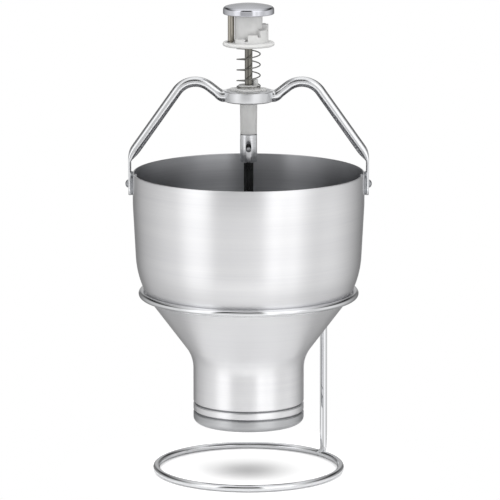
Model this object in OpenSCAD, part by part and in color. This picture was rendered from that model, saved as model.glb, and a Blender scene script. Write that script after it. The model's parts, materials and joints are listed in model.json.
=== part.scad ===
// Countertop batter dispenser: a spun hopper in a wire stand, with a press knob over a
// spring, a portion dial under the knob and a plunger that opens the outlet at the bottom.
// Millimetres. +Z is up, the table is z = 0 and the spindle stands on the Z axis.
// The side facing the user is -Y. The handle straps are on -X and +X.

/* [Hopper] */
// Outer diameter of the straight band at the rim
rim_d = 203.2; // [185:0.2:215]
// Height of the rim edge above the table
rim_z = 268.3; // [262:0.1:280]
// Sheet thickness of the spun shell
shell_t = 1.5; // [1.2:0.1:1.8]
// Height of the straight band under the rim
band_h = 26.7; // [20:0.1:30]
// Slope of the slightly tapered wall under the band, from vertical
taper_a = 2.9; // [2:0.1:4]
// Radius of the round shoulder between wall and cone
bulge_r = 80; // [70:1:90]
// Slope of the cone from vertical
cone_a = 36.8; // [34:0.1:39]
// Radius of the neck between cone and outlet
neck_r = 32; // [24:1:40]
// Height where the neck starts above the outlet's lower edge
neck_rise = 48.7; // [46:0.1:52]
// Outer diameter of the outlet
nozzle_d = 97.6; // [92:0.2:100]
// Height of the outlet's lower edge above the table
nozzle_z = 44.5; // [40:0.1:48]
// Outer radius of the lip rolled in at the lower edge
lip_r = 5.3; // [5:0.1:6]
// Depth of the two rolled grooves round the outlet
bead_depth = 1.0; // [0.6:0.1:1.2]
// Height of the lower groove above the lower edge
bead_low = 10.8; // [10.5:0.1:12]
// Distance between the two grooves
bead_step = 7.6; // [7:0.1:8]

/* [Outlet ring] */
// Wall thickness of the outlet ring, whose bore the valve disc slides in
ring_wall = 5.25; // [4.5:0.05:6]
// Height of the outlet ring
ring_h = 19; // [18.5:0.1:22]

/* [Stand] */
// Diameter of the stand wire
wire_d = 6.3; // [5.5:0.1:7]
// Radius of the base ring, measured to the middle of the wire
base_ring_r = 81.8; // [78:0.1:88]
// Distance of the top ring inside the rim, from the rim's outside to the middle of the wire
top_ring_inset = 7.8; // [6.8:0.1:9]
// Radius of the bend at the foot of the leg, to the middle of the wire
foot_bend_r = 6.5; // [6:0.1:9]
// Direction in which the leg joins the base ring, from +X towards +Y
leg_azimuth = 40; // [36:1:46]

/* [Handle] */
// Diameter of the handle tube
tube_d = 9.0; // [8:0.1:10]
// Radius of the arch beside the hub, to the middle of the tube
arch_r = 20; // [18:0.5:23]
// Distance of the arch's centre from the axis
arch_x = 46.4; // [44:0.1:48]
// Height of the arch above the hub, middle of tube to middle of hub
arch_rise = 12.45; // [10:0.05:14]
// Width of the flattened end
strap_w = 12.5; // [11:0.1:14]
// Thickness of the flattened end
strap_t = 2.4; // [2:0.1:3]
// Height above the rim where the handle's slope would meet its flat end
strap_rise = 13; // [11:0.1:15]
// Distance of the rivets under the rim
rivet_drop = 10.3; // [10:0.1:13]
// Thickness of the plate between handle and hopper
ear_t = 1.2; // [1:0.1:2]
// Diameter of the rivet shank
rivet_d = 4; // [3.5:0.1:4.5]
// Diameter of the domed rivet head
rivet_head_d = 7; // [6.5:0.1:8]
// Diameter of the backing washer inside the hopper
backing_d = 17; // [14:0.5:17]

/* [Hub and guide bush] */
// Diameter of the hub
hub_d = 43; // [40:0.2:46]
// Thickness of the hub
hub_t = 9.5; // [9.5:0.1:11]
// Height of the hub's underside above the rim
hub_rise = 62.7; // [60:0.1:66]
// Thickness of the bush flange on the hub
bush_flange_t = 2; // [1.6:0.1:3]
// Diameter of the collar inside the spring
collar_d = 17.8; // [17.2:0.1:18]
// Height of the collar above the flange
collar_h = 3; // [2:0.1:4]
// Height of the stop post above the collar
post_h = 4.5; // [3.5:0.1:5.5]
// Diameter of the guide tube at the hub
guide_d = 15.2; // [14.5:0.1:16]
// Diameter of the guide tube at its lower end
guide_end_d = 14.5; // [14:0.1:15]
// Length of the guide tube below the hub
guide_l = 28.5; // [24:0.1:30]

/* [Spindle] */
// Diameter of the spindle rod
rod_d = 6.7; // [6:0.1:7]
// Travel of the knob from rest to the stop, at the photographed setting
stroke = 29.3; // [26:0.1:29.3]
// Diameter of the coupling sleeve
sleeve_d = 14.8; // [14.2:0.1:16]
// Length of the coupling sleeve
sleeve_l = 24.6; // [24:0.1:28]
// Diameter of the pin across the sleeve
sleeve_pin_d = 2.4; // [2:0.1:2.6]
// Diameter of the latch button
button_d = 4.2; // [3.8:0.1:4.4]

/* [Knob] */
// Diameter of the knob
knob_d = 44.7; // [40:0.1:48]
// Height of the knob's upright side
knob_side_h = 5.2; // [5:0.1:7]
// Slope of the dome where it meets the rounded edge
knob_dome_a = 14; // [11:0.5:18]
// Diameter of the stop pin
pin_d = 5.7; // [5:0.1:5.9]
// Distance of the stop pin from the axis
pin_r = 15.3; // [15.3:0.1:15.8]

/* [Portion dial] */
// Diameter of the dial flange
flange_d = 45.4; // [43:0.1:48]
// Thickness of the dial flange
flange_t = 3.5; // [3.2:0.1:4.5]
// Diameter of the drum
drum_d = 24.2; // [23.9:0.1:24.3]
// Height of the drum above the highest step
drum_over = 8.5; // [7:0.1:10]
// Outer radius of the steps
tread_r = 17.3; // [17:0.1:19]
// Height of each step
step_h = 3.8; // [3.5:0.05:3.85]

/* [Spring] */
// Diameter of the spring wire
spring_wire = 1.1; // [1:0.05:1.15]

/* [Plunger] */
// Diameter of the fluted stem
stem_d = 8.4; // [8:0.1:9]
// Gap between the piston and the size of the ring's bore
piston_play = 0.4; // [0.3:0.05:1]
// Height of the piston above the outlet ring
piston_gap = 10; // [8:0.5:14]
// Thickness of the piston and of the valve disc
disc_t = 5; // [4:0.1:6]

/* [Fits] */
// Radial running fit of the rod, the latch button and the valve seal
run_fit = 0.06; // [0.03:0.01:0.09]
// Gap between parts that are fixed to each other
seat = 0.05; // [0.03:0.01:0.1]

/* [Hidden] */

// hopper
rim_r = rim_d / 2;
nozzle_r = nozzle_d / 2;
band_z = rim_z - band_h;
neck_z = nozzle_z + neck_rise;
neck_end = [nozzle_r + neck_r * (1 - cos(cone_a)), neck_z + neck_r * sin(cone_a)];
bulge_run = [bulge_r * (cos(taper_a) - cos(cone_a)), bulge_r * (sin(cone_a) - sin(taper_a))];
cone_l = (rim_r - neck_end[0] - bulge_run[0]
          - (band_z - neck_end[1] - bulge_run[1]) * tan(taper_a))
         / (sin(cone_a) - cos(cone_a) * tan(taper_a));
bulge_start = neck_end + cone_l * [sin(cone_a), cos(cone_a)];
bulge_c = bulge_start - bulge_r * [cos(cone_a), -sin(cone_a)];
bead_zs = [nozzle_z + bead_low, nozzle_z + bead_low + bead_step];
bead_w = 1.8;

// stand
wire_r = wire_d / 2;
carry_gap = 0.2;
top_ring_r = rim_r - top_ring_inset;
top_ring_z = bulge_c[1] - sqrt(pow(bulge_r + wire_r + carry_gap, 2)
                               - pow(top_ring_r - bulge_c[0], 2));
bend_out = [-sin(leg_azimuth), cos(leg_azimuth), 0];
bend_end = [base_ring_r * cos(leg_azimuth), base_ring_r * sin(leg_azimuth), wire_r];
leg_x = bend_end[0] - foot_bend_r * bend_out[0];
leg_top = [leg_x, sqrt(pow(top_ring_r, 2) - pow(leg_x, 2)), top_ring_z];
leg_foot = bend_end + [0, 0, foot_bend_r] - foot_bend_r * bend_out;

// handle and hub
strap_in_x = rim_r + ear_t + 2 * seat;
strap_x = strap_in_x + strap_t / 2;
rivet_z = rim_z - rivet_drop;
hub_z = rim_z + hub_rise;
hub_mid = hub_z + hub_t / 2;
hub_top = hub_z + hub_t;
arch_c = [arch_x, hub_mid + arch_rise - arch_r];
arm_in = [hub_d / 2 + 2.1, hub_mid];
arm_out = [strap_x, rim_z + strap_rise];
flat_z = arm_out[1] + 1.2;

// bush
rod_r = rod_d / 2;
flange_top = hub_top + seat + bush_flange_t;
collar_top = flange_top + collar_h;
post_top = collar_top + post_h;
bush_end = hub_z - guide_l;

// points on one curl of the spring, and the radius at which its straight pieces clear the collar
curl = 8;
spring_r = (collar_d / 2 + 0.12 + spring_wire / 2) / cos(180 / curl);

// dial and knob
dial_z = post_top + stroke + 0.5;
dial_top = dial_z + flange_t;
drum_r = drum_d / 2;
drum_top = dial_top + 4 * step_h + drum_over;
pocket_d = 1.4;
riser_a = 40;
notch_a = 10.5;
first_riser = -42;
groove_in = collar_d / 2;
groove_out = spring_r + spring_wire / 2 + 0.35;
groove_top = dial_z + 8;
knob_z = drum_top + 0.8;
knob_r = knob_d / 2;
dome_end = [knob_r - 3 + 3 * sin(knob_dome_a), knob_side_h - 1.4 + 3 * cos(knob_dome_a)];
dome_r = dome_end[0] / sin(knob_dome_a);
rod_top = knob_z + knob_side_h - 0.6;
pin_foot = dial_top - pocket_d + 0.15;

// spring
washer_t = 0.5;
washer_z = groove_top - 0.1 - washer_t;
spring_lo = flange_top + 0.05 + spring_wire / 2;
spring_hi = washer_z - 0.05 - spring_wire / 2;

// sleeve and stem
sleeve_top = bush_end - 0.25;
sleeve_z = sleeve_top - sleeve_l;
sleeve_bore_r = stem_d / 2 + 0.8;
rod_end = sleeve_top - 6.6;
stem_top = rod_end - 0.3;
button_z = sleeve_z + 11.7;
window_w = button_d + 0.6;
window_h = 7.3;

// outlet and plunger
ring_z = nozzle_z + 2.7;
ring_top = ring_z + ring_h;
ring_r = nozzle_r - shell_t - seat;
ring_bore_r = ring_r - ring_wall;
valve_z = nozzle_z + 3.5;
piston_z = ring_top + piston_gap;
piston_r = ring_bore_r - piston_play;
socket_z = piston_z + 10;
spigot_r = 3;

$fn = 96;

// Points on an arc of radius r round c, from angle a0 to a1, in n steps
function arc(c, r, a0, a1, n) =
    [for (i = [0 : n]) c + r * [cos(a0 + (a1 - a0) * i / n), sin(a0 + (a1 - a0) * i / n)]];

// One rolled groove in a vertical wall of radius r, going up
function bead(r, z, w, d) =
    [for (i = [-4 : 4]) [r - d * (0.5 + 0.5 * cos(45 * i)), z + w * i / 4]];

// Wall of the hopper from the outlet to the rim: t = 0 outside, the sheet thickness inside
function wall(t) = concat(
    arc([nozzle_r - lip_r, nozzle_z + lip_r], lip_r - t, -80, 0, 7),
    bead(nozzle_r - t, bead_zs[0], bead_w, bead_depth),
    bead(nozzle_r - t, bead_zs[1], bead_w, bead_depth),
    [for (p = arc([nozzle_r + neck_r, neck_z], neck_r + t, 180, 180 - cone_a, 9)) p],
    arc(bulge_c, bulge_r - t, -cone_a, -taper_a, 14),
    [[rim_r - t, band_z], [rim_r - t, rim_z - 0.4]]);

function reversed(v) = [for (i = [len(v) - 1 : -1 : 0]) v[i]];

// Unit vectors and the turn that carries the local axes to three given directions
function unit(v) = v / norm(v);
module place(o, ex, ey, ez) {
    translate(o)
        rotate([atan2(ey[2], ez[2]), -asin(ex[2]), atan2(ex[1], ex[0])])
            children();
}

// A bent round rod from angle 0 to a round its own Z axis. It is a hair thinner than the
// straight runs and reaches 0.3 into them, so that the two are one solid.
module bent_rod(bend_r, r, a) {
    lap = asin(0.3 / bend_r);
    rotate([0, 0, -lap])
        rotate_extrude(angle = a + 2 * lap, $fn = 144)
            translate([bend_r, 0]) circle(r = r - 0.02, $fn = 48);
}

// Direction and length of the tangent from p to the circle of radius r round c
function tangent_a(p, c, r, side) =
    atan2(c[1] - p[1], c[0] - p[0]) + side * asin(r / norm(c - p));
function tangent_l(p, c, r) = sqrt(pow(norm(c - p), 2) - r * r);

module stand_wire() {
    color([0.75, 0.76, 0.78]) {
        // the base ring starts where the bend ends and closes against the bend's outside
        translate([0, 0, wire_r]) rotate([0, 0, leg_azimuth])
            rotate_extrude(angle = 360 - 0.62 * asin(foot_bend_r / base_ring_r), $fn = 120)
                translate([base_ring_r, 0]) circle(r = wire_r, $fn = 24);
        down = unit(leg_foot - leg_top);
        turn = acos(down * bend_out);
        ex = -(bend_out - down * cos(turn)) / sin(turn);
        ez = cross(ex, down);
        centre = bend_end - foot_bend_r * (ex * cos(turn) + down * sin(turn));
        start = centre + foot_bend_r * ex;
        place(centre, ex, down, ez) bent_rod(foot_bend_r, wire_r, turn);
        difference() {
            // the leg runs up from the bend into the underside of the top ring
            translate(start)
                rotate([acos(-down[2]), 0, atan2(-down[1], -down[0]) + 90])
                    cylinder(r = wire_r, h = (top_ring_z - 1.3 - start[2]) / -down[2], $fn = 24);
            translate([0, 0, top_ring_z])
                rotate_extrude($fn = 120)
                    translate([top_ring_r, 0]) circle(r = wire_r + seat, $fn = 24);
        }
    }
}

module top_ring() {
    color([0.75, 0.76, 0.78])
        translate([0, 0, top_ring_z])
            rotate_extrude($fn = 120) translate([top_ring_r, 0]) circle(r = wire_r, $fn = 24);
}

module hopper_shell() {
    color([0.8, 0.81, 0.82])
        difference() {
            rotate_extrude($fn = 120)
                polygon(concat(wall(0), [[rim_r - 0.4, rim_z], [rim_r - shell_t + 0.4, rim_z]],
                               reversed(wall(shell_t))));
            for (s = [-1, 1])
                translate([s * (rim_r - 8), 0, rivet_z])
                    rotate([0, s * 90, 0])
                        cylinder(d = rivet_d + 2 * seat, h = 16, $fn = 32);
        }
}

module outlet_ring() {
    color([0.93, 0.93, 0.92])
        rotate_extrude($fn = 120)
            polygon(concat(
                [[ring_bore_r, ring_z], [ring_r - 1.5, ring_z], [ring_r, ring_z + 3.2]],
                bead(ring_r, bead_zs[0], bead_w, bead_depth),
                bead(ring_r, bead_zs[1], bead_w, bead_depth),
                [[ring_r, ring_top - 0.6], [ring_r - 0.6, ring_top],
                 [ring_bore_r, ring_top - 6]]));
}

module ear_plate() {
    difference() {
        union() {
            translate([rim_r - 2, -strap_w / 2 - 0.8, rivet_z - 3])
                cube([ear_t + seat + 2, strap_w + 1.6, 7]);
            for (dz = [-3, 4])
                translate([rim_r - 2, 0, rivet_z + dz])
                    rotate([0, 90, 0])
                        cylinder(r = strap_w / 2 + 0.8, h = ear_t + seat + 2, $fn = 48);
        }
        translate([0, 0, rivet_z - 20]) cylinder(r = rim_r + seat, h = 40, $fn = 240);
        translate([rim_r - 4, 0, rivet_z])
            rotate([0, 90, 0]) cylinder(d = rivet_d + 2 * seat, h = 12, $fn = 32);
    }
}

module ear_plate_right() { color([0.72, 0.73, 0.75]) ear_plate(); }
module ear_plate_left() { color([0.72, 0.73, 0.75]) mirror([1, 0, 0]) ear_plate(); }

module handle_rivets() {
    color([0.7, 0.71, 0.73])
        for (s = [0, 1]) mirror([s, 0, 0]) translate([0, 0, rivet_z]) {
            out = strap_in_x + strap_t + seat;
            in = rim_r - shell_t - seat - 2 - seat;
            rotate([0, 90, 0]) translate([0, 0, in - 0.1])
                cylinder(d = rivet_d, h = out - in + 0.2, $fn = 32);
            rotate([0, 90, 0]) translate([0, 0, out])
                rotate_extrude($fn = 48)
                    polygon([[0, 0], [rivet_head_d / 2, 0], [rivet_head_d / 2, 0.5],
                             [rivet_head_d * 0.45, 1.25], [rivet_head_d * 0.36, 1.9],
                             [rivet_head_d * 0.24, 2.35], [rivet_head_d * 0.1, 2.65],
                             [0, 2.7]]);
            rotate([0, -90, 0]) translate([0, 0, -in])
                rotate_extrude($fn = 48)
                    polygon([[0, 0], [3.1, 0], [3, 0.6], [2.4, 1.1], [1.3, 1.4], [0, 1.5]]);
        }
}

module rivet_washers() {
    color([0.72, 0.73, 0.75])
        for (s = [0, 1]) mirror([s, 0, 0])
            difference() {
                intersection() {
                    translate([rim_r - shell_t - seat - 2, 0, rivet_z])
                        rotate([0, 90, 0]) cylinder(d = backing_d, h = 4, $fn = 64);
                    translate([0, 0, rivet_z - 20])
                        cylinder(r = rim_r - shell_t - seat, h = 40, $fn = 240);
                }
                translate([rim_r - 10, 0, rivet_z])
                    rotate([0, 90, 0]) cylinder(d = rivet_d + 2 * seat, h = 12, $fn = 32);
            }
}

// One handle arm, in the plane y = 0 on the +X side
module handle_arm() {
    a_in = tangent_a(arm_in, arch_c, arch_r, 1);
    l_in = tangent_l(arm_in, arch_c, arch_r);
    a_out = tangent_a(arm_out, arch_c, arch_r, -1);
    l_out = tangent_l(arm_out, arch_c, arch_r);
    flat_l = 9.8;
    turn_r = 6;
    turn_l = turn_r * tan(a_in / 2);
    difference() {
        union() {
            // short level run into the hub
            translate([hub_d / 2 - 3, 0, hub_mid]) rotate([0, 90, 0])
                cylinder(d = tube_d, h = arm_in[0] - turn_l - hub_d / 2 + 3, $fn = 48);
            // tight bend beside the hub
            translate([arm_in[0] - turn_l, 0, hub_mid + turn_r]) rotate([90, 0, 0])
                rotate([0, 0, -90]) bent_rod(turn_r, tube_d / 2, a_in);
            // rising run
            translate([arm_in[0], 0, arm_in[1]]) rotate([0, 90 - a_in, 0])
                translate([0, 0, turn_l]) cylinder(d = tube_d, h = l_in - turn_l, $fn = 48);
            // arch
            translate([arch_c[0], 0, arch_c[1]]) rotate([90, 0, 0])
                rotate([0, 0, a_out - 90]) bent_rod(arch_r, tube_d / 2, a_in + 180 - a_out);
            // falling run
            translate([arm_out[0], 0, arm_out[1]]) rotate([0, 90 - a_out, 0])
                translate([0, 0, flat_l]) cylinder(d = tube_d, h = l_out - flat_l, $fn = 48);
            // the round tube flattens into the strap
            hull() {
                translate([arm_out[0], 0, arm_out[1]]) rotate([0, 90 - a_out, 0])
                    translate([0, 0, flat_l - 0.3]) cylinder(d = tube_d + 0.1, h = 0.6, $fn = 32);
                translate([strap_in_x, -strap_w / 2, flat_z]) cube([strap_t, strap_w, 0.2]);
            }
            translate([strap_in_x, -strap_w / 2, rivet_z - 4])
                cube([strap_t, strap_w, flat_z + 0.1 - rivet_z + 4]);
            translate([strap_in_x, 0, rivet_z - 4])
                rotate([0, 90, 0]) cylinder(d = strap_w, h = strap_t, $fn = 64);
        }
        translate([0, 0, hub_mid - 20]) cylinder(r = hub_d / 2 + seat, h = 40, $fn = 96);
        translate([rim_r - 4, 0, rivet_z])
            rotate([0, 90, 0]) cylinder(d = rivet_d + 2 * seat, h = 16, $fn = 32);
    }
}

module handle_arm_right() { color([0.78, 0.79, 0.8]) handle_arm(); }
module handle_arm_left() { color([0.78, 0.79, 0.8]) mirror([1, 0, 0]) handle_arm(); }

module handle_hub() {
    color([0.78, 0.79, 0.8])
        translate([0, 0, hub_z])
            rotate_extrude($fn = 96)
                polygon(concat(
                    [[guide_d / 2 + seat, 0]],
                    arc([hub_d / 2 - 1.2, 1.2], 1.2, -90, 0, 4),
                    arc([hub_d / 2 - 1.2, hub_t - 1.2], 1.2, 0, 90, 4),
                    [[guide_d / 2 + seat, hub_t]]));
}

module guide_bush() {
    color([0.9, 0.9, 0.89])
        difference() {
            union() {
                translate([0, 0, bush_end])
                    cylinder(r1 = guide_end_d / 2, r2 = guide_d / 2, h = guide_l, $fn = 72);
                translate([0, 0, hub_z - 0.01])
                    cylinder(d = guide_d, h = hub_t + 0.1, $fn = 72);
                translate([0, 0, hub_top + seat]) {
                    cylinder(r = collar_d / 2 + 3, h = bush_flange_t, $fn = 72);
                    translate([-11, -5.2, 0]) cube([22, 10.4, bush_flange_t]);
                    for (s = [-1, 1])
                        translate([s * 11, 0, 0]) cylinder(r = 5.2, h = bush_flange_t, $fn = 48);
                    cylinder(d = collar_d, h = bush_flange_t + collar_h, $fn = 72);
                }
                // the stop post that the dial meets at the end of the stroke
                translate([5.7, 2.3, flange_top]) cylinder(r = 2.5, h = collar_h + post_h, $fn = 32);
            }
            translate([0, 0, bush_end - 1])
                cylinder(r = rod_r + run_fit, h = post_top - bush_end + 2, $fn = 48);
        }
}

// Centre line of the return spring: a closed curl, open curls and a closed curl, rising
// anticlockwise seen from above, 8 points a curl
end_pitch = spring_wire + 0.45;
open_turns = 4.3;
end_turns = 1;
spring_n = round((open_turns + 2 * end_turns) * curl);
open_pitch = (spring_hi - spring_lo - 2 * end_turns * end_pitch) / open_turns;
function spring_height(u) =
    u < end_turns ? spring_lo + end_pitch * u
    : u < end_turns + open_turns ? spring_lo + end_pitch * end_turns + open_pitch * (u - end_turns)
    : spring_lo + end_pitch * end_turns + open_pitch * open_turns
      + end_pitch * (u - end_turns - open_turns);
spring_path = [for (i = [0 : spring_n])
    let (u = i / spring_n * (open_turns + 2 * end_turns), a = 10 + 360 * u)
    [spring_r * cos(a), spring_r * sin(a), spring_height(u)]];
spring_out = [for (p = spring_path) unit([p[0], p[1], 0])];

// Points of a tube swept along a path: m points a ring, turned so that they keep their
// place between the outward direction and up
function tube_points(path, out, r, m) = [for (i = [0 : len(path) - 1])
    let (t = unit(path[min(i + 1, len(path) - 1)] - path[max(i - 1, 0)]),
         b = unit(cross(t, out[i])))
    for (k = [0 : m - 1])
        path[i] + r * (cos(360 * k / m) * out[i] + sin(360 * k / m) * b)];
function tube_faces(n, m) = concat(
    [[for (k = [0 : m - 1]) k]],
    [for (i = [0 : n - 2], k = [0 : m - 1], h = [0, 1])
        let (a = i * m + k, b = i * m + (k + 1) % m)
        h == 0 ? [a, a + m, b] : [b, a + m, b + m]],
    [[for (k = [m - 1 : -1 : 0]) (n - 1) * m + k]]);

spring_gap = min([for (i = [0 : spring_n - 6], j = [i + 6 : spring_n])
    norm(spring_path[i] - spring_path[j])]) - spring_wire;
echo(spring_least_gap = spring_gap);

module return_spring() {
    color([0.6, 0.6, 0.62])
        polyhedron(tube_points(spring_path, spring_out, spring_wire / 2, 6),
                   tube_faces(len(spring_path), 6), convexity = 12);
}

module knob() {
    color([0.8, 0.8, 0.82])
        difference() {
            translate([0, 0, knob_z])
                rotate_extrude($fn = 120)
                    polygon(concat(
                        [[0, 0]],
                        arc([knob_r - 0.8, 0.8], 0.8, -90, 0, 4),
                        arc([knob_r - 3, knob_side_h - 1.4], 3, 0, 90 - knob_dome_a, 8),
                        [for (p = arc([0, dome_end[1] - dome_r * cos(knob_dome_a)], dome_r,
                                      90 - knob_dome_a, 90, 8)) if (p[0] < dome_end[0] - 0.01) p]));
            translate([0, 0, knob_z - 1]) cylinder(r = rod_r + seat, h = rod_top - knob_z + 1.1, $fn = 48);
            translate([-pin_r, 0, knob_z - 1]) cylinder(d = pin_d + 2 * seat, h = 4.1, $fn = 48);
        }
}

module stop_pin() {
    color([0.7, 0.7, 0.72])
        translate([-pin_r, 0, pin_foot])
            rotate_extrude($fn = 48)
                polygon(concat([for (p = arc([0, pin_d / 2], pin_d / 2, -90, 0, 8))
                                if (p[0] > 0.01 || p[1] < 0.01) [max(p[0], 0), p[1]]],
                               [[pin_d / 2, knob_z + 3 - pin_foot], [0, knob_z + 3 - pin_foot]]));
}

module spindle_rod() {
    color([0.6, 0.58, 0.56])
        difference() {
            translate([0, 0, rod_end]) cylinder(r = rod_r, h = rod_top - rod_end, $fn = 48);
            translate([-10, 0, sleeve_top - 3.3])
                rotate([0, 90, 0]) cylinder(d = sleeve_pin_d + 2 * seat, h = 20, $fn = 32);
        }
}

module coupling_sleeve() {
    color([0.72, 0.73, 0.75])
        difference() {
            translate([0, 0, sleeve_z])
                rotate_extrude($fn = 72)
                    polygon([[sleeve_bore_r, 0], [sleeve_d / 2 - 0.5, 0], [sleeve_d / 2, 0.5],
                             [sleeve_d / 2, sleeve_l - 0.5], [sleeve_d / 2 - 0.5, sleeve_l],
                             [rod_r + seat, sleeve_l], [rod_r + seat, rod_end - sleeve_z],
                             [sleeve_bore_r, rod_end - sleeve_z]]);
            // the oblong window that the latch button stands in
            for (dz = [0, window_h - window_w])
                translate([0, 0, button_z + dz]) rotate([90, 0, 0])
                    cylinder(d = window_w, h = 12, $fn = 48);
            translate([-window_w / 2, -12, button_z])
                cube([window_w, 12, window_h - window_w]);
            translate([-10, 0, sleeve_top - 3.3])
                rotate([0, 90, 0]) cylinder(d = sleeve_pin_d + 2 * seat, h = 20, $fn = 32);
        }
}

module sleeve_pin() {
    color([0.6, 0.6, 0.62])
        translate([-sleeve_d / 2 + 0.2, 0, sleeve_top - 3.3])
            rotate([0, 90, 0]) cylinder(d = sleeve_pin_d, h = sleeve_d - 0.4, $fn = 32);
}

module plunger_stem() {
    color([0.05, 0.05, 0.05])
        difference() {
            union() {
                difference() {
                    translate([0, 0, socket_z + seat])
                        cylinder(d = stem_d, h = sleeve_z - socket_z + 1, $fn = 72);
                    for (k = [0 : 7])
                        rotate([0, 0, 22.5 + 45 * k])
                            translate([stem_d / 2 + 0.35, 0, socket_z + 8])
                                cylinder(r = 1.05, h = sleeve_z - socket_z - 10, $fn = 24);
                }
                translate([0, 0, sleeve_z + 0.3])
                    cylinder(r = sleeve_bore_r - seat, h = stem_top - sleeve_z - 0.3, $fn = 72);
                translate([0, 0, valve_z + 2.5])
                    cylinder(r = spigot_r, h = socket_z - valve_z, $fn = 48);
            }
            // socket for the latch button
            translate([0, 2.9, button_z]) rotate([90, 0, 0])
                cylinder(r = button_d / 2 + run_fit, h = 12, $fn = 48);
            // thread core of the end screw
            translate([0, 0, valve_z]) cylinder(r = 1.5 + seat, h = 14, $fn = 32);
        }
}

module piston() {
    color([0.08, 0.08, 0.08])
        rotate_extrude($fn = 120)
            polygon([[spigot_r + seat, piston_z], [piston_r - 1, piston_z],
                     [piston_r, piston_z + 1], [piston_r, piston_z + disc_t - 1],
                     [piston_r - 1, piston_z + disc_t], [11, piston_z + disc_t],
                     [8.5, piston_z + disc_t + 2.5], [8, socket_z + 5],
                     [stem_d / 2 + seat, socket_z + 5], [stem_d / 2 + seat, socket_z],
                     [spigot_r + seat, socket_z]]);
}

module valve_disc() {
    r = ring_bore_r - 0.8;
    m = valve_z + disc_t / 2;
    color([0.08, 0.08, 0.08])
        rotate_extrude($fn = 120)
            polygon([[spigot_r + seat, valve_z], [r - 1, valve_z], [r, valve_z + 1],
                     [r, m - 1.1], [r - 1.8, m - 1.1], [r - 1.8, m + 1.1], [r, m + 1.1],
                     [r, valve_z + disc_t - 0.4], [r - 0.4, valve_z + disc_t],
                     [9, valve_z + disc_t], [5.5, valve_z + disc_t + 3],
                     [5, valve_z + disc_t + 6], [5, piston_z - seat],
                     [spigot_r + seat, piston_z - seat]]);
}

module valve_seal() {
    r = ring_bore_r - 0.8;
    m = valve_z + disc_t / 2;
    color([0.3, 0.3, 0.3])
        rotate_extrude($fn = 120)
            polygon([[r - 1.8 + seat, m - 1.05], [ring_bore_r - run_fit - 0.5, m - 1.05],
                     [ring_bore_r - run_fit, m - 0.5], [ring_bore_r - run_fit, m + 0.5],
                     [ring_bore_r - run_fit - 0.5, m + 1.05], [r - 1.8 + seat, m + 1.05]]);
}

module plunger_screw() {
    color([0.65, 0.66, 0.68])
        difference() {
            translate([0, 0, valve_z - seat])
                rotate_extrude($fn = 48)
                    polygon([[0, -3], [4, -3], [5.2, -2.4], [6, -1], [6, 0],
                             [1.5, 0], [1.5, 12], [0, 12]]);
            translate([-7, -0.6, valve_z - seat - 4]) cube([14, 1.2, 2.2]);
        }
}

module latch_button() {
    color([0.75, 0.76, 0.78])
        translate([0, -0.5, button_z]) rotate([90, 0, 0])
            rotate_extrude($fn = 48)
                polygon([[0, 0], [button_d / 2 - 0.3, 0], [button_d / 2, 0.3],
                         [button_d / 2, 5.5], [button_d * 0.46, 5.95], [button_d * 0.37, 6.35],
                         [button_d * 0.25, 6.65], [button_d * 0.12, 6.8], [0, 6.85]]);
}

module dial_washer() {
    color([0.65, 0.66, 0.68])
        translate([0, 0, washer_z])
            difference() {
                cylinder(r = groove_out - 0.3, h = washer_t, $fn = 72);
                translate([0, 0, -1]) cylinder(r = groove_in + 0.3, h = washer_t + 2, $fn = 72);
            }
}

// A sector of a ring from radius r0 to r1 and height z0 to z1, between the angles f0 and f1
// counted from the front (-Y) towards +X
module sector(r0, r1, z0, z1, f0, f1) {
    rotate([0, 0, f0 - 90]) rotate_extrude(angle = f1 - f0, $fn = 144)
        translate([r0, z0]) square([r1 - r0, z1 - z0]);
}

module portion_dial() {
    pin_half = asin(pin_d / 2 / pin_r);
    color([0.94, 0.94, 0.93])
        difference() {
            union() {
                difference() {
                    translate([0, 0, dial_z])
                        rotate_extrude($fn = 96)
                            polygon(concat([[rod_r + run_fit, 0]],
                                arc([flange_d / 2 - 1.8, 1.8], 1.8, -90, 0, 5),
                                arc([flange_d / 2 - 1.8, flange_t - 1.8], 1.8, 0, 90, 5),
                                [[rod_r + run_fit, flange_t]]));
                    // seat of the stop pin at the lowest setting
                    sector(drum_r - 1, pin_r + pin_d / 2 + 0.6, dial_top - pocket_d, dial_top + 1,
                           -90 - pin_half - 11, -90 + pin_half + 11);
                }
                translate([0, 0, dial_top - pocket_d - 0.4])
                    cylinder(r = drum_r, h = drum_top - dial_top + pocket_d + 0.4, $fn = 96);
                // four steps, each one step height above the one before, and each with a
                // notch at its end for the round end of the stop pin
                difference() {
                    last = first_riser + riser_a * 4 + 6;
                    sector(drum_r - 1, tread_r, dial_top - 0.3, dial_top + step_h * 4,
                           first_riser, last);
                    for (k = [0 : 3]) {
                        up = dial_top + step_h * (k + 1);
                        to = first_riser + riser_a * (k + 1);
                        if (k < 3)
                            sector(drum_r - 2, tread_r + 1, up, up + step_h * 4,
                                   first_riser - 5, to - notch_a / 2);
                        sector(drum_r - 2, tread_r + 1 + 0.1 * k, up - 2, up + step_h * 4 + 1,
                               to - notch_a, to);
                    }
                }
            }
            // bore for the rod and groove for the spring
            translate([0, 0, dial_z - 1])
                cylinder(r = rod_r + run_fit, h = drum_top - dial_z + 2, $fn = 48);
            sector(groove_in, groove_out, dial_z - 1, groove_top, 0, 360);
        }
}

stand_wire();
top_ring();
hopper_shell();
outlet_ring();
ear_plate_left();
ear_plate_right();
handle_rivets();
rivet_washers();
handle_arm_left();
handle_arm_right();
handle_hub();
guide_bush();
return_spring();
knob();
stop_pin();
spindle_rod();
coupling_sleeve();
sleeve_pin();
plunger_stem();
piston();
valve_disc();
valve_seal();
plunger_screw();
latch_button();
dial_washer();
portion_dial();
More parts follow.
